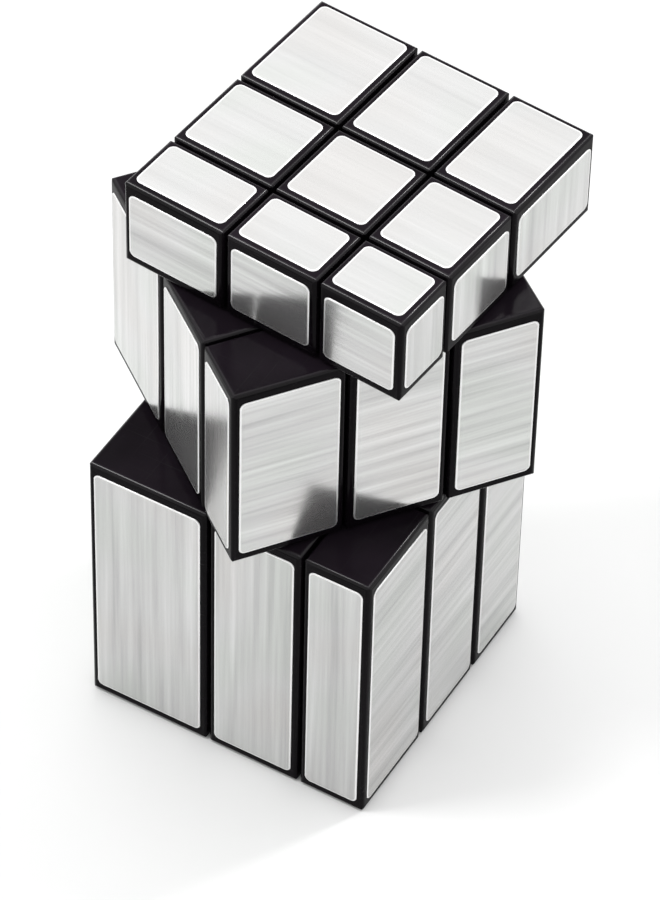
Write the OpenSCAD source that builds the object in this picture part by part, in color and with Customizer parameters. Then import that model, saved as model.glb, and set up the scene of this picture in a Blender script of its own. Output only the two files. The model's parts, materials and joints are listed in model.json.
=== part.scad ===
// Three-by-three twisty puzzle of the mirror kind: every piece is black, wears silver foil tiles
// and has its own size. It stands on its bottom layer, with the two layers above turned.
//
// Front is -Y, back is +Y, left is -X and right is +X, as in the solved puzzle.
// The origin is where the turning axis of the layers meets the surface that the puzzle stands on.

/* [Solved size] */
// Width of the solved puzzle, left to right and front to back
width = 57; // [56:0.5:60]
// Height of the top layer
top_h = 18.5; // [10:0.5:24]
// Height of the middle layer
middle_h = 41.5; // [36:0.5:46]
// Height of the bottom layer
bottom_h = 60; // [20:0.5:64]
// Width of the right-hand layer, the left-hand one takes the rest
right_w = 17; // [16:0.5:19]
// Depth of the front layer, the back one takes the rest
front_w = 13.5; // [13:0.5:17]

/* [Turned layers] */
// Turn of the middle layer against the bottom layer, in degrees
middle_turn = -37; // [-180:0.5:180]
// Turn of the top layer against the middle layer, in degrees
top_turn = -58; // [-180:0.5:180]

/* [Pieces] */
// Width of the middle row, between the two cuts
row_w = 19; // [18.5:0.1:19.5]
// Clearance on each side of a cut
gap = 0.2; // [0.15:0.01:0.25]
// Radius of every outside edge of a piece
edge_r = 1; // [0.6:0.1:1.4]
// Wall of the hollow shells
wall = 1.5; // [1.2:0.1:1.8]

/* [Foil tiles] */
// Thickness of a foil tile
foil_t = 0.2; // [0.1:0.05:0.4]
// Distance from a tile to the sides of its piece
foil_in = 1.5; // [1.3:0.05:2.5]
// Distance from a side tile to the top and bottom of its layer
foil_in_z = 2.3; // [1.4:0.1:4]
// Radius of the tile corners
foil_r = 1.2; // [0.8:0.1:2.2]

/* [Mechanism] */
// Radius of the ball that the feet of the pieces make up
ball_r = 18.7; // [18.4:0.1:18.9]
// Radius of the hollow inside the feet
foot_in_r = 12.2; // [11.8:0.1:12.6]
// Distance from the centre to the cuts between the feet
foot_cut = 6.5; // [6.2:0.1:6.8]
// Radius of the round necks that reach down from the outer layers
neck_r = 20; // [19.6:0.1:20.2]

/* [Hidden] */
$fn = 64;

// Cuts and outer faces, measured from the centre of the mechanism
cut = row_w / 2;
z_cut = middle_h / 2;
right_x = cut + right_w;
left_x = width - right_x;
front_y = cut + front_w;
back_y = width - front_y;
top_z = z_cut + top_h;
bottom_z = z_cut + bottom_h;
centre_h = foil_t + bottom_z;

// Running clearance between round surfaces, on each of the two
slide = 0.15;
// Steps in a rounded corner
corner_steps = 5;
// Everything that is cut away reaches this far past the surface
past = 1;

// Mechanism: arms of the core, and the stack of seat, spring, washer and screw on each of them
hub_r = 5.5;
arm_r = 3;
arm_end = 8;
column_end = 8.2;
seat = 9.8;
spring_top = 14.6;
washer_t = 0.5;
washer_r = 3.9;
head_r = 3;
head_h = 2;
shaft_r = 1.38;
shaft_in = 4;
thread_r = 1.4;
shaft_hole_r = 1.6;
washer_hole_r = 1.5;
well_r = 4.2;
tube_wall = 1.2;
cross_w = 0.9;
cross_l = 3.6;
cross_deep = 1.2;
coil_r = 3.3;
wire_r = 0.3;
coil_turns = 4;
coil_steps = 16;
wire_sides = 6;
// Cap over the well: a flange, flush with the face, on a plug
cap_r = 5;
cap_t = 1.2;
cap_play = 0.05;
plug_h = 2;
// Stem that joins a foot to its shell
stem_to = 13.2;
stem_to_z = 17;
stem_half = 5;
stem_to_middle = 15.5;

// Steps -1, 0 and 1 along each axis pick a piece: left, middle, right and so on
SIDES = [-1, 1];
STEPS = [-1, 0, 1];

// Outer face of the layer on side n of an axis
function face_x(n) = n < 0 ? left_x : right_x;
function face_y(n) = n < 0 ? front_y : back_y;
function face_z(n) = n < 0 ? bottom_z : top_z;

// Where a piece starts and ends along one axis, clear of its neighbours
function reach(n, inner, outer) =
    n == 0 ? [-inner + gap, inner - gap] : n < 0 ? [-outer, -inner - gap] : [inner + gap, outer];
function reach_x(n) = reach(n, cut, face_x(n));
function reach_y(n) = reach(n, cut, face_y(n));
function reach_z(n) = reach(n, z_cut, face_z(n));

// Outline of a rectangle with rounded corners, from a to b
function corner_arc(c, r, from) =
    [for (s = [0:corner_steps]) c + r * [cos(from + 90 * s / corner_steps), sin(from + 90 * s / corner_steps)]];
function rounded_outline(a, b, r) = concat(
    corner_arc([b.x - r, b.y - r], r, 0),
    corner_arc([a.x + r, b.y - r], r, 90),
    corner_arc([a.x + r, a.y + r], r, 180),
    corner_arc([b.x - r, a.y + r], r, 270));

// Box from the smallest corner to the largest
module block(x, y, z) {
    translate([x[0], y[0], z[0]]) cube([x[1] - x[0], y[1] - y[0], z[1] - z[0]]);
}

// The same box with all its edges rounded
module rounded_block(x, y, z, r) {
    intersection() {
        translate([0, 0, z[0]])
            linear_extrude(z[1] - z[0]) polygon(rounded_outline([x[0], y[0]], [x[1], y[1]], r));
        translate([0, y[1], 0]) rotate([90, 0, 0])
            linear_extrude(y[1] - y[0]) polygon(rounded_outline([x[0], z[0]], [x[1], z[1]], r));
        translate([x[0], 0, 0]) rotate([90, 0, 90])
            linear_extrude(x[1] - x[0]) polygon(rounded_outline([y[0], z[0]], [y[1], z[1]], r));
    }
}

// Turns a child that points up so that it points towards the face that a step names
module toward(i, j, k) {
    rotate([j != 0 ? -90 * j : k < 0 ? 180 : 0, i * 90, 0]) children();
}

// Places a layer: the bottom one stands square, the others are turned on the vertical axis
module in_bottom() {
    translate([0, 0, centre_h]) children();
}
module in_middle() {
    rotate([0, 0, middle_turn]) translate([0, 0, centre_h]) children();
}
module in_top() {
    rotate([0, 0, middle_turn + top_turn]) translate([0, 0, centre_h]) children();
}

// Part of an outer layer that reaches in to the ball, round so that the middle layer turns past it
module neck(i, j, k) {
    z = [cut + gap, z_cut + gap + edge_r + past];
    intersection() {
        block(reach_x(i), reach_y(j), k > 0 ? z : [-z[1], -z[0]]);
        cylinder(h = 2 * z[1], r = neck_r - slide, center = true);
    }
}

// Round recesses in the middle layer that the necks turn in
module neck_room() {
    for (k = SIDES)
        translate([0, 0, k > 0 ? cut - gap : -z_cut - past])
            cylinder(h = z_cut + past - cut + gap, r = neck_r + slide);
}

// Inside of a hollow shell
module hollow(i, j, k) {
    x = reach_x(i) + [wall, -wall];
    y = reach_y(j) + [wall, -wall];
    z = reach_z(k) + [wall, -wall];
    difference() {
        block(x, y, z);
        if (k == 0) cylinder(h = 2 * z_cut, r = neck_r + slide + wall, center = true);
    }
}

// Stem that stands on a foot and is glued into the shell
module stem(i, j, k) {
    across = k == 0 ? stem_to_middle : stem_to;
    block(
        i == 0 ? [-stem_half, stem_half] : i < 0 ? [-across, -cut - gap] : [cut + gap, across],
        j == 0 ? [-stem_half, stem_half] : j < 0 ? [-across, -cut - gap] : [cut + gap, across],
        k == 0 ? [-stem_half, stem_half] : k < 0 ? [-stem_to_z, -cut - gap] : [cut + gap, stem_to_z]);
}

// Foot of an edge or a corner, a piece of a hollow ball, with its stem
module foot(i, j, k) {
    union() {
        difference() {
            intersection() {
                block(reach(i, foot_cut, ball_r), reach(j, foot_cut, ball_r), reach(k, foot_cut, ball_r));
                sphere(r = ball_r - slide);
            }
            sphere(r = foot_in_r);
        }
        stem(i, j, k);
    }
}

// Shell of an edge or a corner
module shell(i, j, k) {
    difference() {
        union() {
            rounded_block(reach_x(i), reach_y(j), reach_z(k), edge_r);
            if (k != 0) neck(i, j, k);
        }
        sphere(r = ball_r + slide);
        if (k == 0) neck_room();
        stem(i, j, k);
        hollow(i, j, k);
    }
}

// Edge piece
module edge(i, j, k) {
    color("#151515") shell(i, j, k);
}

// Corner piece
module corner(i, j, k) {
    color("#151515") shell(i, j, k);
}

// Distance from the centre of the mechanism to the face that a centre piece carries
function face_of(i, j, k) = i != 0 ? face_x(i) : j != 0 ? face_y(j) : face_z(k);

// Well of a centre piece, with the seat for its spring and the seat for its cap
module well(face) {
    translate([0, 0, seat]) cylinder(h = face - seat + past, r = well_r);
    translate([0, 0, face - cap_t]) cylinder(h = cap_t + past, r = cap_r);
    cylinder(h = face, r = shaft_hole_r);
}

// Centre piece: a shell on a square column, hollow around the well for its screw
module centre(i, j, k) {
    face = face_of(i, j, k);
    inside = k == 0 ? neck_r + slide + wall : z_cut + wall;
    has_hollow = face - wall - inside > 2 * wall;
    color("#151515") difference() {
        union() {
            difference() {
                union() {
                    rounded_block(reach_x(i), reach_y(j), reach_z(k), edge_r);
                    if (k != 0) neck(i, j, k);
                }
                sphere(r = ball_r + slide);
                if (k == 0) neck_room();
            }
            toward(i, j, k) translate([0, 0, (column_end + ball_r + past) / 2])
                cube([2 * (foot_cut - gap), 2 * (foot_cut - gap), ball_r + past - column_end], center = true);
        }
        toward(i, j, k) well(face);
        if (has_hollow) difference() {
            hollow(i, j, k);
            toward(i, j, k) cylinder(h = face, r = cap_r + tube_wall);
        }
    }
}

// Cap that closes the well of a centre piece
module centre_cap(i, j, k) {
    face = face_of(i, j, k);
    color("#151515") toward(i, j, k) union() {
        translate([0, 0, face - cap_t]) cylinder(h = cap_t, r = cap_r - cap_play);
        translate([0, 0, face - cap_t - plug_h]) cylinder(h = plug_h + cap_t / 2, r = well_r - cap_play);
    }
}

// Runs its child once for each of the six faces
module on_six_faces() {
    for (n = SIDES) {
        toward(n, 0, 0) children();
        toward(0, n, 0) children();
        toward(0, 0, n) children();
    }
}

// Six-armed core
module core() {
    color("#303030") difference() {
        union() {
            sphere(r = hub_r);
            on_six_faces() cylinder(h = arm_end, r = arm_r);
        }
        on_six_faces() translate([0, 0, shaft_in]) cylinder(h = arm_end, r = thread_r);
    }
}

// Six screws, each with a cross recess
module core_screws() {
    head = spring_top + washer_t;
    color("#a8a8a8") on_six_faces() difference() {
        union() {
            translate([0, 0, shaft_in]) cylinder(h = head - shaft_in + head_h / 2, r = shaft_r);
            translate([0, 0, head]) cylinder(h = head_h, r = head_r);
        }
        for (a = [0, 90]) rotate([0, 0, a])
            translate([-cross_l / 2, -cross_w / 2, head + head_h - cross_deep])
                cube([cross_l, cross_w, cross_deep + past]);
    }
}

// Washer under each screw head
module screw_washers() {
    color("#b8b8b8") on_six_faces() translate([0, 0, spring_top]) difference() {
        cylinder(h = washer_t, r = washer_r);
        translate([0, 0, -past]) cylinder(h = washer_t + 2 * past, r = washer_hole_r);
    }
}

// Points of a coiled wire: a ring of wire_sides points at each step along the coil
function coil_ring(s, low, rise) =
    [for (w = [0:wire_sides - 1])
        let (turn = 360 * s / coil_steps, lean = 360 * w / wire_sides, r = coil_r + wire_r * cos(lean))
        [r * cos(turn), r * sin(turn), low + rise * s / coil_steps / coil_turns + wire_r * sin(lean)]];
function coil_face(s, w) =
    [s * wire_sides + w, s * wire_sides + (w + 1) % wire_sides,
     (s + 1) * wire_sides + (w + 1) % wire_sides, (s + 1) * wire_sides + w];

// Coil spring between a seat and a washer
module coil_spring() {
    low = seat + wire_r;
    rise = spring_top - wire_r - low;
    last = coil_turns * coil_steps;
    polyhedron(
        points = [for (s = [0:last]) each coil_ring(s, low, rise)],
        faces = concat(
            [for (s = [0:last - 1], w = [0:wire_sides - 1]) coil_face(s, w)],
            [[for (w = [wire_sides - 1:-1:0]) w], [for (w = [0:wire_sides - 1]) last * wire_sides + w]]));
}
module tension_springs() {
    color("#c0c0c0") on_six_faces() coil_spring();
}

// Foil tile on the face that looks along one axis: side n of x, y or z
module foil_x(n, j, k) {
    y = reach(j, cut, face_y(j)) + [foil_in - gap, gap - foil_in];
    z = reach(k, z_cut, face_z(k)) + [foil_in_z - gap, gap - foil_in_z];
    translate([n > 0 ? right_x : -left_x - foil_t, 0, 0]) rotate([90, 0, 90])
        linear_extrude(foil_t) polygon(rounded_outline([y[0], z[0]], [y[1], z[1]], foil_r));
}
module foil_y(i, n, k) {
    x = reach(i, cut, face_x(i)) + [foil_in - gap, gap - foil_in];
    z = reach(k, z_cut, face_z(k)) + [foil_in_z - gap, gap - foil_in_z];
    translate([0, n > 0 ? back_y + foil_t : -front_y, 0]) rotate([90, 0, 0])
        linear_extrude(foil_t) polygon(rounded_outline([x[0], z[0]], [x[1], z[1]], foil_r));
}
module foil_z(i, j, n) {
    x = reach(i, cut, face_x(i)) + [foil_in - gap, gap - foil_in];
    y = reach(j, cut, face_y(j)) + [foil_in - gap, gap - foil_in];
    translate([0, 0, n > 0 ? top_z : -bottom_z - foil_t])
        linear_extrude(foil_t) polygon(rounded_outline([x[0], y[0]], [x[1], y[1]], foil_r));
}

// Tiles around the sides of an outer layer
module side_foils(k) {
    color("#d8d8d8") for (n = SIDES, s = STEPS) {
        foil_x(n, s, k);
        foil_y(s, n, k);
    }
}

// Tiles around the middle layer, apart from the ones on its centre pieces
module middle_foils() {
    color("#d8d8d8") for (n = SIDES, s = SIDES) {
        foil_x(n, s, 0);
        foil_y(s, n, 0);
    }
}

// Tiles on the top or bottom face, apart from the one on its centre piece
module face_foils(n) {
    color("#d8d8d8") for (i = STEPS, j = STEPS) if (i != 0 || j != 0) foil_z(i, j, n);
}

// Tile on a centre piece
module centre_foil(i, j, k) {
    color("#d8d8d8") {
        if (i != 0) foil_x(i, 0, 0);
        if (j != 0) foil_y(0, j, 0);
        if (k != 0) foil_z(0, 0, k);
    }
}

// Feet of the pieces of one layer
module edge_feet(k) {
    color("#242424") for (n = SIDES) {
        foot(n, 0, k);
        foot(0, n, k);
    }
}
module corner_feet(k) {
    color("#242424") for (i = SIDES, j = SIDES) foot(i, j, k);
}
module standing_edge_feet() {
    color("#242424") for (i = SIDES, j = SIDES) foot(i, j, 0);
}

in_middle() core();
in_middle() core_screws();
in_middle() screw_washers();
in_middle() tension_springs();
in_top() centre(0, 0, 1);  // top_centre
in_bottom() centre(0, 0, -1);  // bottom_centre
in_middle() centre(0, -1, 0);  // front_centre
in_middle() centre(0, 1, 0);  // back_centre
in_middle() centre(-1, 0, 0);  // left_centre
in_middle() centre(1, 0, 0);  // right_centre
in_top() centre_cap(0, 0, 1);  // top_centre_cap
in_bottom() centre_cap(0, 0, -1);  // bottom_centre_cap
in_middle() centre_cap(0, -1, 0);  // front_centre_cap
in_middle() centre_cap(0, 1, 0);  // back_centre_cap
in_middle() centre_cap(-1, 0, 0);  // left_centre_cap
in_middle() centre_cap(1, 0, 0);  // right_centre_cap
in_top() edge(0, -1, 1);  // top_front_edge
in_top() edge(0, 1, 1);  // top_back_edge
in_top() edge(-1, 0, 1);  // top_left_edge
in_top() edge(1, 0, 1);  // top_right_edge
in_middle() edge(-1, -1, 0);  // front_left_edge
in_middle() edge(1, -1, 0);  // front_right_edge
in_middle() edge(-1, 1, 0);  // back_left_edge
in_middle() edge(1, 1, 0);  // back_right_edge
in_bottom() edge(0, -1, -1);  // bottom_front_edge
in_bottom() edge(0, 1, -1);  // bottom_back_edge
in_bottom() edge(-1, 0, -1);  // bottom_left_edge
in_bottom() edge(1, 0, -1);  // bottom_right_edge
in_top() corner(-1, -1, 1);  // top_front_left_corner
in_top() corner(1, -1, 1);  // top_front_right_corner
in_top() corner(-1, 1, 1);  // top_back_left_corner
in_top() corner(1, 1, 1);  // top_back_right_corner
in_bottom() corner(-1, -1, -1);  // bottom_front_left_corner
in_bottom() corner(1, -1, -1);  // bottom_front_right_corner
in_bottom() corner(-1, 1, -1);  // bottom_back_left_corner
in_bottom() corner(1, 1, -1);  // bottom_back_right_corner
in_top() edge_feet(1);  // top_edge_feet
in_top() corner_feet(1);  // top_corner_feet
in_middle() standing_edge_feet();  // middle_edge_feet
in_bottom() edge_feet(-1);  // bottom_edge_feet
in_bottom() corner_feet(-1);  // bottom_corner_feet
in_top() face_foils(1);  // top_face_foils
in_top() side_foils(1);  // top_side_foils
in_middle() middle_foils();  // middle_side_foils
in_bottom() side_foils(-1);  // bottom_side_foils
in_bottom() face_foils(-1);  // bottom_face_foils
in_top() centre_foil(0, 0, 1);  // top_centre_foil
in_bottom() centre_foil(0, 0, -1);  // bottom_centre_foil
in_middle() centre_foil(0, -1, 0);  // front_centre_foil
in_middle() centre_foil(0, 1, 0);  // back_centre_foil
in_middle() centre_foil(-1, 0, 0);  // left_centre_foil
in_middle() centre_foil(1, 0, 0);  // right_centre_foil
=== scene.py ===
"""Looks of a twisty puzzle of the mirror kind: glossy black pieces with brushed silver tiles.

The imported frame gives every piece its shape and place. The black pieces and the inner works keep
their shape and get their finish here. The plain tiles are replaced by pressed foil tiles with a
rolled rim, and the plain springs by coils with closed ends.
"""

import json
import math
import random

import bmesh
import bpy
from mathutils import Matrix, Vector


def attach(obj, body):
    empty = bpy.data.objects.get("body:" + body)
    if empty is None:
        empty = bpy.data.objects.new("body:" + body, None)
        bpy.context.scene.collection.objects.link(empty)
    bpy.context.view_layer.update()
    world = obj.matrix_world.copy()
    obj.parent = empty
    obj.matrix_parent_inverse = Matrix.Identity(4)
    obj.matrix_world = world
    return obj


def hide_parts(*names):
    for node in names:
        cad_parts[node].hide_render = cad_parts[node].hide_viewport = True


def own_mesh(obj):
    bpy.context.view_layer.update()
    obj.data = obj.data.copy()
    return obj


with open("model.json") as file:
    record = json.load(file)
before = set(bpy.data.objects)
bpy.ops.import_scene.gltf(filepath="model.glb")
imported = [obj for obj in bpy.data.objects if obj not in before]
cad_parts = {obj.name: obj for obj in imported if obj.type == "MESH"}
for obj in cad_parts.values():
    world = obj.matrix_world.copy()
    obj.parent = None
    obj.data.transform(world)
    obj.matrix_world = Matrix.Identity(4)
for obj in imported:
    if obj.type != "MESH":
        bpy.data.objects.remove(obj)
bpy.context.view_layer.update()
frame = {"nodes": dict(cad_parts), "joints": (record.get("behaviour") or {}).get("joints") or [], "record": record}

MM = 0.001
WHITE = (1.0, 1.0, 1.0)
random.seed(57)

# The turning axis of the layers is vertical, and the centre of the mechanism is on it
CENTRE = Vector(frame["joints"][0]["pos_m"])
# How far each layer is turned from the solved puzzle, in degrees
LAYER_TURN = {"bottom_layer": 0, "middle_layer": -37, "top_layer": -95}

# Heights of the seams under the middle layer and under the top layer, in metres
MIDDLE_FROM = 60.2 * MM
TOP_FROM = 101.7 * MM
# Rounded edges: the surface counts as fully round where it faces no side of its piece by more than
# the first cosine, and as flat where it faces one by the second
EDGE_FULL = 0.94
EDGE_NONE = 0.99
# How shiny the level edges are rubbed, and the share of it that upright edges have
EDGE_SHINE = 0.4
UPRIGHT_EDGE_SHARE = 0.04
# How much an edge leans (as the size of the surface's upward part) to count as upright or as level
UPRIGHT_LEAN = 0.1
LEVEL_LEAN = 0.4
# Painted shade: the upward part of the surface where the painted top light starts and where it is full, and
# the share of the black plastic's lightness that is left on faces that do not face up, which are painted darker
TOP_LIGHT_FROM = 0.6
TOP_LIGHT_FULL = 0.95
UNLIT_FACE_SHARE = 0.3
# Colours of the black plastic, and of a scratch in it
BLACK_DARK = (0.0062, 0.0045, 0.0064)
BLACK_LIGHT = (0.0118, 0.0085, 0.0122)
BLACK_SCRATCH = (0.0135, 0.0122, 0.0140)
# Colours of the foil from its darkest stroke to its lightest, its faint casts, and the painted highlight on its
# rim
FOIL_TONES = [
    (0.32, (0.46, 0.46, 0.46)), (0.46, (0.565, 0.565, 0.561)),
    (0.56, (0.625, 0.625, 0.621)), (0.68, (0.73, 0.73, 0.73))]
FOIL_CASTS = [(0.36, (0.99, 0.975, 0.967)), (0.5, WHITE), (0.64, (0.965, 0.985, 0.962))]
FOIL_RIM_HIGHLIGHT = (0.9, 0.9, 0.895)
# Colours of the bare plastics, the steel and the floor, from dark to light
FEET_COLOURS = ((0.020, 0.020, 0.022), (0.034, 0.034, 0.036))
CORE_COLOURS = ((0.040, 0.040, 0.043), (0.064, 0.064, 0.068))
STEEL_COLOURS = ((0.50, 0.50, 0.51), (0.68, 0.67, 0.64))
FLOOR_COLOURS = ((0.745, 0.75, 0.745), (0.77, 0.77, 0.77))

# Camera: azimuth 0 looks towards +Y. The aim is measured in the picture plane, from the centre. The
# distance is in metres, and the lens and sensor are in millimetres.
VIEW_AZIMUTH = math.radians(-60.5)
VIEW_ELEVATION = math.radians(46.7)
VIEW_ROLL = math.radians(1.45)
VIEW_DISTANCE = 0.924
VIEW_AIM_RIGHT = -2.9 * MM
VIEW_AIM_UP = -18.2 * MM
LENS = 214.1
SENSOR_WIDTH = 36

# Studio: the white surroundings are brightest towards the back wall (azimuth, elevation). The glow
# begins and is full at these cosines of the angle to it.
BACK_WALL = (119, 45)
GLOW_FROM = 0.2
GLOW_FULL = 0.9
WORLD_LOW = 0.82
WORLD_HIGH = 1.42
# Soft lights: azimuth, elevation, distance in metres, side in metres, power in watts
SOFTBOXES = {
    "overhead": (-60, 76, 1.2, 0.9, 0.8),
    "left_edge_light": (-145, 56, 1.1, 0.28, 4.6),
    "right_edge_light": (60, 48, 1.1, 0.12, 3.2)}
# Floor, in metres: a painted pool of light, it darkens from the near distance to the far one, to a share of its
# lightness
FLOOR_RADIUS = 6.0
FLOOR_NEAR = 0.06
FLOOR_FAR = 0.16
FLOOR_FAR_SHARE = 0.9

# Tile section, from the glued edge to the flat: distance in from the edge in millimetres, share of
# the thickness, and how much painted highlight the rim gets there (the same share adds rim roughness)
TILE_SECTION = [
    (0.00, -0.05, 1.0), (0.00, 0.45, 1.0), (0.03, 0.72, 1.0), (0.09, 0.90, 1.0),
    (0.18, 0.98, 0.9), (0.27, 1.00, 0.55), (0.40, 1.00, 0.0)]
# Radius of the tile corners in millimetres, and the number of steps that each is drawn in
TILE_CORNER = 1.2
TILE_CORNER_STEPS = 8
# One unit of the brushing map is this many millimetres
BRUSH_UNIT = 100.0
# How strongly the brushing shows: less on the tiles of the top and bottom than on the side tiles
BRUSH_DEPTH_TOP = 0.32
BRUSH_DEPTH_SIDE = 0.95
# Roughness that rubbing adds to the rims of the tiles
RIM_BLUR = 0.25
# Two directions count as the same above this cosine, and as square to each other below the other one
ALIGNED = 0.7
SQUARE = 0.1

# CAD surfaces, in metres and degrees: points closer than the first two are one point, for shading and
# for telling the tiles apart, and edges sharper than the angle stay creased
WELD_DISTANCE = 0.001 * MM
SAME_POINT = 0.002 * MM
CREASE_ANGLE = 34

# Coil springs, in millimetres
SPRING_LOW = 9.8
SPRING_HIGH = 14.6
SPRING_R = 3.3
WIRE_R = 0.3
SPRING_TURNS = 4
CLOSED_TURNS = 0.8
COIL_STEPS = 28
WIRE_SIDES = 10


# ---------------------------------------------------------------- node helpers

def new_material(name):
    """A material with its node tree, and the shader to build on."""
    material = bpy.data.materials.new(name)
    material.use_nodes = True
    tree = material.node_tree
    return material, tree, tree.nodes["Principled BSDF"]


def set_constants(shader, **values):
    """Values that are the same all over, set on the shader's own sockets."""
    for name, value in values.items():
        shader.inputs[name.replace("_", " ")].default_value = value


def noise(tree, vector, scale, detail=2.0, roughness=0.5, distortion=0.0):
    node = tree.nodes.new("ShaderNodeTexNoise")
    node.inputs["Scale"].default_value = scale
    node.inputs["Detail"].default_value = detail
    node.inputs["Roughness"].default_value = roughness
    node.inputs["Distortion"].default_value = distortion
    tree.links.new(vector, node.inputs["Vector"])
    return node.outputs["Fac"]


def stretched(tree, vector, scale, offset=(0, 0, 0), turn=(0, 0, 0)):
    node = tree.nodes.new("ShaderNodeMapping")
    node.inputs["Scale"].default_value = scale
    node.inputs["Location"].default_value = offset
    node.inputs["Rotation"].default_value = turn
    tree.links.new(vector, node.inputs["Vector"])
    return node.outputs["Vector"]


def between(tree, value, low, high, to_low, to_high):
    """Carries value from the range low to high over to the range to_low to to_high."""
    node = tree.nodes.new("ShaderNodeMapRange")
    for name, number in (("From Min", low), ("From Max", high), ("To Min", to_low), ("To Max", to_high)):
        node.inputs[name].default_value = number
    tree.links.new(value, node.inputs["Value"])
    return node.outputs["Result"]


def calculate(tree, operation, first, second):
    node = tree.nodes.new("ShaderNodeMath")
    node.operation = operation
    for socket, value in zip(node.inputs, (first, second)):
        if isinstance(value, (int, float)):
            socket.default_value = value
        else:
            tree.links.new(value, socket)
    return node.outputs["Value"]


def weighted_sum(tree, *terms):
    """Sum of value times weight, for (value, weight) pairs."""
    total = None
    for value, weight in terms:
        part = calculate(tree, "MULTIPLY", value, weight)
        total = part if total is None else calculate(tree, "ADD", total, part)
    return total


def colours(tree, factor, *stops):
    """A colour ramp, from (place, (red, green, blue)) stops."""
    node = tree.nodes.new("ShaderNodeValToRGB")
    ramp = node.color_ramp
    while len(ramp.elements) < len(stops):
        ramp.elements.new(0.5)
    for element, (place, colour) in zip(ramp.elements, stops):
        element.position = place
        element.color = (*colour, 1.0)
    tree.links.new(factor, node.inputs["Fac"])
    return node.outputs["Color"]


def mixed(tree, factor, first, second, blend="MIX"):
    node = tree.nodes.new("ShaderNodeMix")
    node.data_type = "RGBA"
    node.blend_type = blend
    for name, value in (("Factor_Float", factor), ("A_Color", first), ("B_Color", second)):
        socket = next(s for s in node.inputs if s.identifier == name)
        if isinstance(value, bpy.types.NodeSocket):
            tree.links.new(value, socket)
        elif isinstance(value, tuple):
            socket.default_value = (*value, 1.0)
        else:
            socket.default_value = value
    return next(s for s in node.outputs if s.identifier == "Result_Color")


def add_bump(tree, shader, height, distance, strength=1.0):
    """Raises the surface by height times distance, which is in metres."""
    node = tree.nodes.new("ShaderNodeBump")
    node.inputs["Distance"].default_value = distance
    node.inputs["Strength"].default_value = strength
    tree.links.new(height, node.inputs["Height"])
    tree.links.new(node.outputs["Normal"], shader.inputs["Normal"])


def object_coordinates(tree):
    return tree.nodes.new("ShaderNodeTexCoord").outputs["Object"]


# ---------------------------------------------------------------- materials

def edge_share(tree):
    """1 on the level rounded edges of the pieces, less on upright ones, and 0 on the flats."""
    source = tree.nodes.new("ShaderNodeTexCoord")
    height = tree.nodes.new("ShaderNodeSeparateXYZ")
    tree.links.new(source.outputs["Object"], height.inputs[0])
    turn = weighted_sum(
        tree,
        (calculate(tree, "GREATER_THAN", height.outputs["Z"], MIDDLE_FROM), -LAYER_TURN["middle_layer"]),
        (calculate(tree, "GREATER_THAN", height.outputs["Z"], TOP_FROM),
         LAYER_TURN["middle_layer"] - LAYER_TURN["top_layer"]))
    solved = tree.nodes.new("ShaderNodeVectorRotate")
    solved.rotation_type = "Z_AXIS"
    tree.links.new(source.outputs["Normal"], solved.inputs["Vector"])
    tree.links.new(calculate(tree, "RADIANS", turn, 0), solved.inputs["Angle"])
    absolute = tree.nodes.new("ShaderNodeVectorMath")
    absolute.operation = "ABSOLUTE"
    tree.links.new(solved.outputs["Vector"], absolute.inputs[0])
    part = tree.nodes.new("ShaderNodeSeparateXYZ")
    tree.links.new(absolute.outputs["Vector"], part.inputs[0])
    flatness = calculate(tree, "MAXIMUM", part.outputs["X"], part.outputs["Y"])
    flatness = calculate(tree, "MAXIMUM", flatness, part.outputs["Z"])
    round_share = between(tree, flatness, EDGE_FULL, EDGE_NONE, 1.0, 0.0)
    level_share = between(tree, part.outputs["Z"], UPRIGHT_LEAN, LEVEL_LEAN, UPRIGHT_EDGE_SHARE, 1.0)
    return calculate(tree, "MULTIPLY", round_share, level_share)


def black_shell():
    """Glossy moulded plastic with smudges and hair scratches, edges rubbed shiny, and painted shade that darkens
    all but the upward faces.
    """
    material, tree, shader = new_material("black_shell")
    at = object_coordinates(tree)
    facing = tree.nodes.new("ShaderNodeSeparateXYZ")
    tree.links.new(tree.nodes.new("ShaderNodeTexCoord").outputs["Normal"], facing.inputs[0])
    # Painted shade: faces that do not point up get a darker colour, as if lit only from above
    painted_top_light = between(tree, facing.outputs["Z"], TOP_LIGHT_FROM, TOP_LIGHT_FULL, UNLIT_FACE_SHARE, 1.0)
    cloud = noise(tree, at, 60, detail=3)
    smudge = noise(tree, at, 230, detail=5, roughness=0.6, distortion=0.6)
    peel = noise(tree, at, 1500, detail=2)
    hair_a = noise(tree, stretched(tree, at, (25, 3800, 3800), turn=(0.2, 0.5, 0.7)), 1, detail=2)
    hair_b = noise(tree, stretched(tree, at, (3300, 30, 3300), turn=(0.6, 0.1, 0.3)), 1, detail=2)
    hair = calculate(tree, "MAXIMUM", hair_a, hair_b)
    scratch = between(tree, hair, 0.66, 0.74, 0.0, 1.0)
    colour = colours(tree, cloud, (0.34, BLACK_DARK), (0.66, BLACK_LIGHT))
    shaded_black = mixed(tree, 1.0, colour, painted_top_light, "MULTIPLY")
    scratched = mixed(tree, scratch, shaded_black, BLACK_SCRATCH)
    tree.links.new(scratched, shader.inputs["Base Color"])
    rough = weighted_sum(tree, (between(tree, smudge, 0.3, 0.7, 0.13, 0.23), 1.0), (scratch, 0.08))
    tree.links.new(rough, shader.inputs["Roughness"])
    tree.links.new(calculate(tree, "MULTIPLY", edge_share(tree), EDGE_SHINE), shader.inputs["Coat Weight"])
    set_constants(shader, Metallic=0.0, IOR=1.5, Specular_IOR_Level=0.036, Coat_Roughness=0.2)
    add_bump(tree, shader, weighted_sum(tree, (peel, 0.7), (smudge, 1.0), (scratch, -0.15)), 3e-6)
    return material


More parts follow.
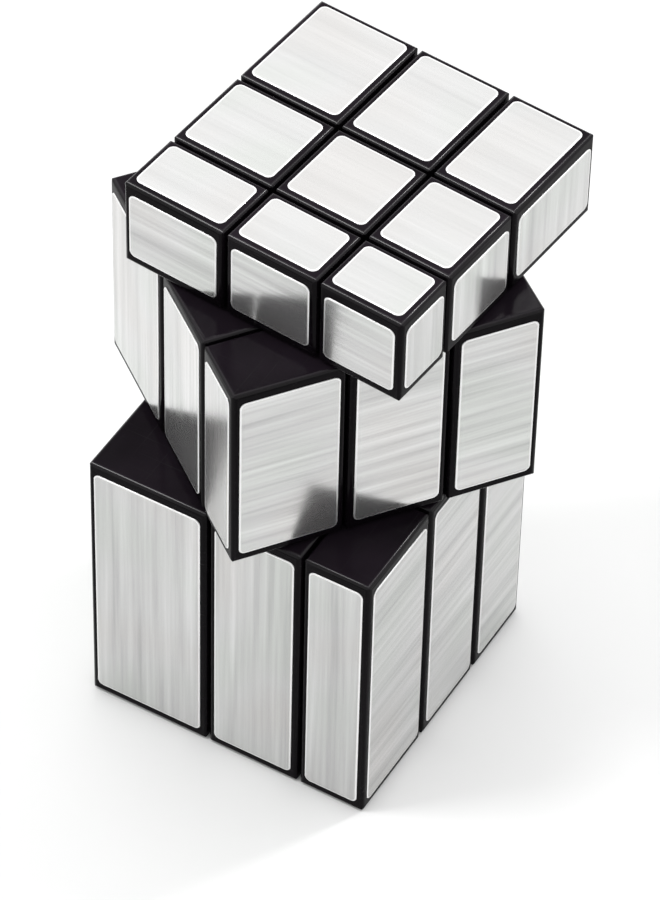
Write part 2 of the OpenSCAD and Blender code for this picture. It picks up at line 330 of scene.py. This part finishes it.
def brushed_foil():
    """Silver foil, brushed one way along each tile, with a rolled rim that has a painted highlight."""
    material, tree, shader = new_material("foil")
    uv = tree.nodes.new("ShaderNodeUVMap")
    uv.uv_map = "brushing"
    at = uv.outputs["UV"]

    def strokes(width, length, detail, offset):
        """Noise drawn out along the brushing, with its width and length in millimetres."""
        scale = (BRUSH_UNIT / length, BRUSH_UNIT / width, 1)
        return noise(tree, stretched(tree, at, scale, offset=(0, 0, offset)), 1, detail=detail)

    band = strokes(2.4, 70, 1.5, 1.3)
    streak = strokes(0.75, 32, 2.5, 4.1)
    hair = strokes(0.2, 9, 2, 7.7)
    sheen = noise(tree, at, BRUSH_UNIT / 26, detail=1)
    waves = noise(tree, at, BRUSH_UNIT / 9, detail=1)
    depth = tree.nodes.new("ShaderNodeAttribute")
    depth.attribute_name = "brush_depth"
    strokes_tone = weighted_sum(tree, (band, 0.56), (streak, 0.38), (hair, 0.06))
    tone = calculate(tree, "ADD", 0.5, calculate(
        tree, "MULTIPLY", calculate(tree, "SUBTRACT", strokes_tone, 0.5), depth.outputs["Fac"]))
    silver = mixed(tree, 1.0, colours(tree, tone, *FOIL_TONES), colours(tree, sheen, *FOIL_CASTS), "MULTIPLY")
    rim = tree.nodes.new("ShaderNodeAttribute")
    rim.attribute_name = "rim"
    # Painted highlight: the rim is mixed towards a lighter silver
    silver = mixed(tree, rim.outputs["Fac"], silver, FOIL_RIM_HIGHLIGHT)
    tree.links.new(silver, shader.inputs["Base Color"])
    worn = between(tree, tone, 0.35, 0.65, 0.23, 0.14)
    rough = weighted_sum(tree, (worn, 1.0), (rim.outputs["Fac"], RIM_BLUR))
    tree.links.new(rough, shader.inputs["Roughness"])
    set_constants(shader, Metallic=0.87, IOR=1.5, Anisotropic=0.25)
    height = weighted_sum(tree, (band, 0.6), (streak, 0.35), (hair, 0.14), (waves, 3.0))
    add_bump(tree, shader, height, 6e-6)
    return material


def matte_plastic(name, dark, light):
    """Bare moulding from a sparked tool: a fine, dull grain."""
    material, tree, shader = new_material(name)
    at = object_coordinates(tree)
    grain = noise(tree, at, 2600, detail=3)
    flow = noise(tree, stretched(tree, at, (120, 120, 400)), 1, detail=3)
    tree.links.new(colours(tree, flow, (0.3, dark), (0.7, light)), shader.inputs["Base Color"])
    tree.links.new(between(tree, grain, 0.3, 0.7, 0.45, 0.62), shader.inputs["Roughness"])
    add_bump(tree, shader, grain, 8e-6)
    return material


def bright_steel():
    """Zinc-plated steel, drawn or turned, with a fine grain."""
    material, tree, shader = new_material("steel")
    at = object_coordinates(tree)
    drawn = noise(tree, stretched(tree, at, (500, 500, 6000)), 1, detail=3)
    bloom = noise(tree, at, 420, detail=3)
    dark, light = STEEL_COLOURS
    tree.links.new(colours(tree, bloom, (0.3, dark), (0.7, light)), shader.inputs["Base Color"])
    tree.links.new(between(tree, drawn, 0.3, 0.7, 0.22, 0.42), shader.inputs["Roughness"])
    set_constants(shader, Metallic=1.0)
    add_bump(tree, shader, drawn, 3e-6)
    return material


def pale_floor():
    """White paper with a painted pool of light: a little lighter near the puzzle than further out."""
    material, tree, shader = new_material("floor_white")
    at = object_coordinates(tree)
    mottle = noise(tree, at, 9, detail=3)
    tooth = noise(tree, at, 900, detail=2)
    distance = tree.nodes.new("ShaderNodeVectorMath")
    distance.operation = "LENGTH"
    tree.links.new(at, distance.inputs[0])
    far = between(tree, distance.outputs["Value"], FLOOR_NEAR, FLOOR_FAR, 0.0, 1.0)
    dark, light = FLOOR_COLOURS
    paper = colours(tree, mottle, (0.3, dark), (0.7, light))
    # Painted pool of light: the paper's colour darkens away from the puzzle
    shade = mixed(tree, far, WHITE, (FLOOR_FAR_SHARE,) * 3)
    tree.links.new(mixed(tree, 1.0, paper, shade, "MULTIPLY"), shader.inputs["Base Color"])
    tree.links.new(between(tree, tooth, 0.3, 0.7, 0.5, 0.65), shader.inputs["Roughness"])
    set_constants(shader, Specular_IOR_Level=0.2)
    return material


# ---------------------------------------------------------------- pieces

def smooth_shading_group():
    """Welds a CAD surface and shades its round stretches smooth, with creases kept at real corners."""
    group = bpy.data.node_groups.new("smooth_shading", "GeometryNodeTree")
    group.interface.new_socket("Geometry", in_out="INPUT", socket_type="NodeSocketGeometry")
    group.interface.new_socket("Geometry", in_out="OUTPUT", socket_type="NodeSocketGeometry")
    nodes, links = group.nodes, group.links
    start, end = nodes.new("NodeGroupInput"), nodes.new("NodeGroupOutput")
    weld = nodes.new("GeometryNodeMergeByDistance")
    weld.inputs["Distance"].default_value = WELD_DISTANCE
    faces = nodes.new("GeometryNodeSetShadeSmooth")
    creases = nodes.new("GeometryNodeSetShadeSmooth")
    creases.domain = "EDGE"
    creases.inputs["Shade Smooth"].default_value = False
    angle = nodes.new("GeometryNodeInputMeshEdgeAngle")
    sharp = nodes.new("FunctionNodeCompare")
    sharp.data_type = "FLOAT"
    sharp.operation = "GREATER_THAN"
    sharp.inputs["B"].default_value = math.radians(CREASE_ANGLE)
    links.new(start.outputs[0], weld.inputs["Geometry"])
    links.new(weld.outputs["Geometry"], faces.inputs["Geometry"])
    links.new(faces.outputs["Geometry"], creases.inputs["Geometry"])
    links.new(angle.outputs["Unsigned Angle"], sharp.inputs["A"])
    links.new(sharp.outputs["Result"], creases.inputs["Selection"])
    links.new(creases.outputs["Geometry"], end.inputs[0])
    return group


def finish_cad_node(node, material, group):
    """A CAD piece keeps its shape, and gets its material and smooth shading."""
    mesh = node.data
    mesh.materials.clear()
    mesh.materials.append(material)
    if "custom_normal" in mesh.attributes:
        mesh.attributes.remove(mesh.attributes["custom_normal"])
    smooth = node.modifiers.new("smooth_shading", "NODES")
    smooth.node_group = group
    flats = node.modifiers.new("flat_faces_stay_flat", "WEIGHTED_NORMAL")
    flats.keep_sharp = True
    flats.weight = 100


def islands(mesh):
    """Groups the faces of a mesh that touch, by the places of their corners."""
    place = [tuple(round(c / SAME_POINT) for c in v.co) for v in mesh.vertices]
    parent = {p: p for p in place}

    def root(p):
        while parent[p] != p:
            parent[p] = parent[parent[p]]
            p = parent[p]
        return p

    for polygon in mesh.polygons:
        first = root(place[polygon.vertices[0]])
        for v in polygon.vertices[1:]:
            parent[root(place[v])] = first
    groups = {}
    for polygon in mesh.polygons:
        groups.setdefault(root(place[polygon.vertices[0]]), []).append(polygon)
    return list(groups.values())


def tile_frame(mesh, polygons, turn):
    """How a plain tile lies: its brushing, cross and outward directions, and its span along each.

    Tiles on the left and right faces are brushed up and down, and all the others from side to side.
    """
    points = [mesh.vertices[v].co for p in polygons for v in p.vertices]
    middle = sum(points, Vector()) / len(points)
    out = max(polygons, key=lambda p: p.area).normal.copy()
    if out.dot(middle - CENTRE) < 0:
        out.negate()
    walls = [p for p in polygons if abs(p.normal.dot(out)) < SQUARE]
    wall = max(walls, key=lambda p: p.area).normal.copy()
    side = Matrix.Rotation(math.radians(turn), 3, "Z") @ Vector((1, 0, 0))
    wanted = Vector((0, 0, 1)) if abs(out.dot(side)) > ALIGNED else side
    brush = max((wall, out.cross(wall)), key=lambda direction: abs(direction.dot(wanted)))
    across = out.cross(brush)
    spans = []
    for axis in (brush, across, out):
        along = [p.dot(axis) for p in points]
        spans.append((min(along), max(along)))
    return brush, across, out, spans


def rounded_outline(length, width, radius):
    """Outline of a rectangle with rounded corners, round its middle."""
    outline = []
    for quarter, (x, y) in enumerate(((1, 1), (-1, 1), (-1, -1), (1, -1))):
        for step in range(TILE_CORNER_STEPS + 1):
            angle = math.radians(90) * (quarter + step / TILE_CORNER_STEPS)
            outline.append((
                x * (length / 2 - radius) + radius * math.cos(angle),
                y * (width / 2 - radius) + radius * math.sin(angle)))
    return outline


def add_tile(shape, rim, depth, uv, brush, across, out, spans):
    """Adds one tile to the mesh: a rolled rim round a flat, with a closed back."""
    brush_depth = BRUSH_DEPTH_TOP if abs(out.z) > ALIGNED else BRUSH_DEPTH_SIDE
    (b0, b1), (a0, a1), (o0, o1) = spans
    rings = []
    for inset, rise, rim_highlight in TILE_SECTION:
        outline = rounded_outline(
            b1 - b0 - 2 * inset * MM, a1 - a0 - 2 * inset * MM, (TILE_CORNER - inset) * MM)
        height = o0 + rise * (o1 - o0)
        ring = []
        for x, y in outline:
            point = brush * ((b0 + b1) / 2 + x) + across * ((a0 + a1) / 2 + y) + out * height
            vertex = shape.verts.new(point)
            vertex[rim] = rim_highlight
            vertex[depth] = brush_depth
            ring.append((vertex, x, y))
        rings.append(ring)
    count = len(rings[0])
    shift_x, shift_y = random.uniform(0, 60), random.uniform(0, 60)
    faces = []
    for lower, upper in zip(rings, rings[1:]):
        for n in range(count):
            m = (n + 1) % count
            faces.append([lower[n], lower[m], upper[m], upper[n]])
    faces.append(rings[-1])
    faces.append(rings[0][::-1])
    for corners in faces:
        face = shape.faces.new([vertex for vertex, _, _ in corners])
        face.smooth = True
        for loop, (_, x, y) in zip(face.loops, corners):
            loop[uv].uv = (shift_x + x / MM / BRUSH_UNIT, shift_y + y / MM / BRUSH_UNIT)


def foil_tiles(node_name, body, material):
    """Pressed foil tiles in the places of the plain ones of one CAD node."""
    plain = frame["nodes"][node_name].data
    shape = bmesh.new()
    rim = shape.verts.layers.float.new("rim")
    depth = shape.verts.layers.float.new("brush_depth")
    uv = shape.loops.layers.uv.new("brushing")
    for polygons in islands(plain):
        add_tile(shape, rim, depth, uv, *tile_frame(plain, polygons, LAYER_TURN[layer_of(body)]))
    piece = piece_from(shape, node_name.replace("foil", "tile"), material)
    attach(piece, body)
    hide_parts(node_name)
    return piece


def layer_of(body):
    """The layer that a body turns with."""
    if body in LAYER_TURN:
        return body
    side = body.split("_")[0]
    return side + "_layer" if side in ("top", "bottom") else "middle_layer"


def piece_from(shape, name, material):
    mesh = bpy.data.meshes.new(name)
    shape.normal_update()
    shape.to_mesh(mesh)
    shape.free()
    mesh.materials.append(material)
    piece = bpy.data.objects.new(name, mesh)
    bpy.context.scene.collection.objects.link(piece)
    return piece


def coil_rise(turn, turns):
    """Height of a coil as a share of its free height: both end turns are closed."""
    open_turns = turns - 2 * CLOSED_TURNS
    closed = 2 * WIRE_R / (SPRING_HIGH - SPRING_LOW - 2 * WIRE_R)
    if turn < CLOSED_TURNS:
        return closed * turn
    if turn > turns - CLOSED_TURNS:
        return 1 - closed * (turns - turn)
    low, high = closed * CLOSED_TURNS, 1 - closed * CLOSED_TURNS
    share = (turn - CLOSED_TURNS) / open_turns
    return low + (high - low) * share


def coil_spring(joint, material):
    """A coil spring between a centre piece and the washer under its screw.

    Its outer end rests on the washer.
    """
    axis = Vector(joint["axis"])
    side = axis.orthogonal().normalized()
    other = axis.cross(side)
    free = SPRING_HIGH - SPRING_LOW - 2 * WIRE_R
    shape = bmesh.new()
    rings = []
    for step in range(SPRING_TURNS * COIL_STEPS + 1):
        turn = step / COIL_STEPS
        angle = 2 * math.pi * turn
        radial = side * math.cos(angle) + other * math.sin(angle)
        height = SPRING_LOW + WIRE_R + free * coil_rise(turn, SPRING_TURNS)
        middle = CENTRE + (radial * SPRING_R + axis * height) * MM
        ring = []
        for n in range(WIRE_SIDES):
            lean = 2 * math.pi * n / WIRE_SIDES
            offset = radial * math.cos(lean) + axis * math.sin(lean)
            ring.append(shape.verts.new(middle + offset * WIRE_R * MM))
        rings.append(ring)
    for lower, upper in zip(rings, rings[1:]):
        for n in range(WIRE_SIDES):
            m = (n + 1) % WIRE_SIDES
            shape.faces.new([lower[n], lower[m], upper[m], upper[n]]).smooth = True
    shape.faces.new(rings[0][::-1])
    shape.faces.new(rings[-1])
    bmesh.ops.recalc_face_normals(shape, faces=shape.faces)
    piece = piece_from(shape, joint["name"].replace("spring_float", "coil_spring"), material)
    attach(piece, "middle_layer")
    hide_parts("tension_springs")
    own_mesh(piece)


# ---------------------------------------------------------------- studio

def add_floor(material):
    """A wide round floor that the puzzle stands on."""
    shape = bmesh.new()
    bmesh.ops.create_circle(shape, cap_ends=True, segments=96, radius=FLOOR_RADIUS)
    floor = piece_from(shape, "studio_floor", material)


def direction(azimuth, elevation):
    """Unit vector away from the puzzle. Azimuth 0 is towards -Y, as for the camera."""
    a, e = math.radians(azimuth), math.radians(elevation)
    return Vector((math.sin(a) * math.cos(e), -math.cos(a) * math.cos(e), math.sin(e)))


def add_softbox(name, azimuth, elevation, distance, side, power):
    """A soft square light that faces the puzzle."""
    light = bpy.data.lights.new(name, "AREA")
    light.size = side
    light.energy = power
    lamp = bpy.data.objects.new(name, light)
    away = direction(azimuth, elevation)
    lamp.location = CENTRE + away * distance
    lamp.rotation_euler = away.to_track_quat("Z", "Y").to_euler()
    lamp.visible_camera = False
    bpy.context.scene.collection.objects.link(lamp)


def add_world():
    """White surroundings that glow towards the back wall."""
    world = bpy.data.worlds.new("studio_white")
    bpy.context.scene.world = world
    world.use_nodes = True
    tree = world.node_tree
    background = tree.nodes["Background"]
    background.inputs["Color"].default_value = (*WHITE, 1.0)
    towards = tree.nodes.new("ShaderNodeVectorMath")
    towards.operation = "DOT_PRODUCT"
    towards.inputs[1].default_value = direction(*BACK_WALL)
    tree.links.new(tree.nodes.new("ShaderNodeTexCoord").outputs["Generated"], towards.inputs[0])
    glow = between(tree, towards.outputs["Value"], GLOW_FROM, GLOW_FULL, WORLD_LOW, WORLD_HIGH)
    tree.links.new(glow, background.inputs["Strength"])


def add_camera():
    """The camera at the picture's viewing angle, turned by the roll about its own axis."""
    sin_a, cos_a = math.sin(VIEW_AZIMUTH), math.cos(VIEW_AZIMUTH)
    sin_e, cos_e = math.sin(VIEW_ELEVATION), math.cos(VIEW_ELEVATION)
    forward = Vector((-sin_a * cos_e, cos_a * cos_e, -sin_e))
    level = Vector((cos_a, sin_a, 0))
    upright = level.cross(forward)
    right = level * math.cos(VIEW_ROLL) + upright * math.sin(VIEW_ROLL)
    up = upright * math.cos(VIEW_ROLL) - level * math.sin(VIEW_ROLL)
    data = bpy.data.cameras.new("camera")
    data.lens = LENS
    data.sensor_width = SENSOR_WIDTH
    camera = bpy.data.objects.new("camera", data)
    place = CENTRE - forward * VIEW_DISTANCE + right * VIEW_AIM_RIGHT + up * VIEW_AIM_UP
    camera.matrix_world = Matrix((
        (right.x, up.x, -forward.x, place.x), (right.y, up.y, -forward.y, place.y),
        (right.z, up.z, -forward.z, place.z), (0, 0, 0, 1)))
    bpy.context.scene.collection.objects.link(camera)
    bpy.context.scene.camera = camera


# ---------------------------------------------------------------- the puzzle

add_camera()
add_world()
for name, place in SOFTBOXES.items():
    add_softbox(name, *place)
add_floor(pale_floor())

slots = {
    "black_shell": black_shell(),
    "foil": brushed_foil(),
    "feet": matte_plastic("feet_plastic", *FEET_COLOURS),
    "core": matte_plastic("core_plastic", *CORE_COLOURS),
    "steel": bright_steel()}
slot_of = {part["node"]: part["material_slot"] for part in frame["record"]["subparts"]}
smooth_shading = smooth_shading_group()

for body, members in frame["record"]["behaviour"]["bodies"].items():
    for name in members:
        if slot_of[name] == "foil":
            foil_tiles(name, body, slots["foil"])
        elif name != "tension_springs":
            finish_cad_node(frame["nodes"][name], slots[slot_of[name]], smooth_shading)
for joint in frame["joints"]:
    if joint["name"].startswith("spring_float"):
        coil_spring(joint, slots["steel"])

bpy.context.scene.view_settings.view_transform = "Standard"
